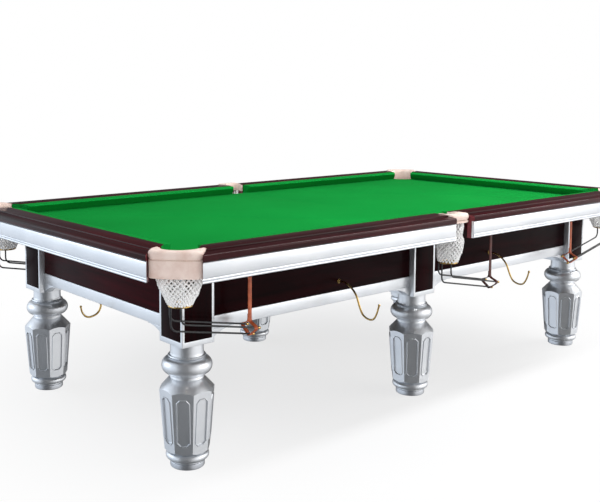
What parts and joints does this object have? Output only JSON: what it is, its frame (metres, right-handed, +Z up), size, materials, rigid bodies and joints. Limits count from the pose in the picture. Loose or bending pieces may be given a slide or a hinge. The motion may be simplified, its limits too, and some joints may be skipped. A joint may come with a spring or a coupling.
{
  "type": "pool table",
  "caption": "Six-legged billiard table: cloth bed on slates, cushioned wooden rails, leather and net pockets with ball runners, turned legs on levelling feet.",
  "frame": {"origin": "on the floor, under the centre of the table", "axes": "+X along the long side to the right, +Y from the front side to the back, +Z up"},
  "size_m": [3.16, 1.748, 0.88],
  "materials": {
    "silver_paint": "silver lacquer over turned and planed wood",
    "mahogany": "dark mahogany, high gloss",
    "slate": "honed slate",
    "softwood": "planed softwood",
    "green_cloth": "napped woollen cloth",
    "cushion": "rubber strip under green cloth",
    "pocket_leather": "natural leather, stitched",
    "net_cord": "white knotted cord",
    "brass": "polished brass",
    "black_rod": "black plastic-coated rod",
    "strap_leather": "tanned leather strap",
    "steel": "zinc plated steel",
    "foot_steel": "silver enamel on steel"
  },
  "bodies": {
    "table": {"apron_beads": "silver_paint", "ball_runners": "black_rod", "band_brackets": "silver_paint", "bed_cloth": "green_cloth", "corner_leathers": "pocket_leather", "corner_nets": "net_cord", "corner_posts": "silver_paint", "corner_rings": "brass", "cross_beam": "softwood", "cushion_back_left": "cushion", "cushion_back_right": "cushion", "cushion_end_left": "cushion", "cushion_end_right": "cushion", "cushion_front_left": "cushion", "cushion_front_right": "cushion", "end_aprons": "silver_paint", "end_bands": "silver_paint", "end_beam_left": "mahogany", "end_beam_right": "mahogany", "hook_plates": "brass", "leg_back_left": "silver_paint", "leg_back_middle": "silver_paint", "leg_back_right": "silver_paint", "leg_dowels": "steel", "leg_front_left": "silver_paint", "leg_front_middle": "silver_paint", "leg_front_right": "silver_paint", "middle_leathers": "pocket_leather", "middle_nets": "net_cord", "middle_posts": "silver_paint", "middle_rings": "brass", "post_panels": "mahogany", "rail_back_left": "mahogany", "rail_back_right": "mahogany", "rail_bolts": "steel", "rail_end_left": "mahogany", "rail_end_right": "mahogany", "rail_front_left": "mahogany", "rail_front_right": "mahogany", "rest_hooks": "brass", "runner_ferrules": "brass", "runner_straps": "strap_leather", "side_aprons": "silver_paint", "side_bands": "silver_paint", "side_beam_back_left": "mahogany", "side_beam_back_right": "mahogany", "side_beam_front_left": "mahogany", "side_beam_front_right": "mahogany", "slate_battens": "softwood", "slate_left": "slate", "slate_middle": "slate", "slate_right": "slate", "strap_cleats": "softwood", "strap_screws": "brass"},
    "foot_front_left": {"levelling_foot_front_left": "foot_steel"},
    "foot_front_middle": {"levelling_foot_front_middle": "foot_steel"},
    "foot_front_right": {"levelling_foot_front_right": "foot_steel"},
    "foot_back_left": {"levelling_foot_back_left": "foot_steel"},
    "foot_back_middle": {"levelling_foot_back_middle": "foot_steel"},
    "foot_back_right": {"levelling_foot_back_right": "foot_steel"}
  },
  "joints": [
    {"name": "foot_level_front_left", "type": "slide", "parent": "table", "child": "foot_front_left", "axis": [0, 0, -1], "range_m": [0, 0.02]},
    {"name": "foot_level_front_middle", "type": "slide", "parent": "table", "child": "foot_front_middle", "axis": [0, 0, -1], "range_m": [0, 0.02]},
    {"name": "foot_level_front_right", "type": "slide", "parent": "table", "child": "foot_front_right", "axis": [0, 0, -1], "range_m": [0, 0.02]},
    {"name": "foot_level_back_left", "type": "slide", "parent": "table", "child": "foot_back_left", "axis": [0, 0, -1], "range_m": [0, 0.02]},
    {"name": "foot_level_back_middle", "type": "slide", "parent": "table", "child": "foot_back_middle", "axis": [0, 0, -1], "range_m": [0, 0.02]},
    {"name": "foot_level_back_right", "type": "slide", "parent": "table", "child": "foot_back_right", "axis": [0, 0, -1], "range_m": [0, 0.02]}
  ]
}
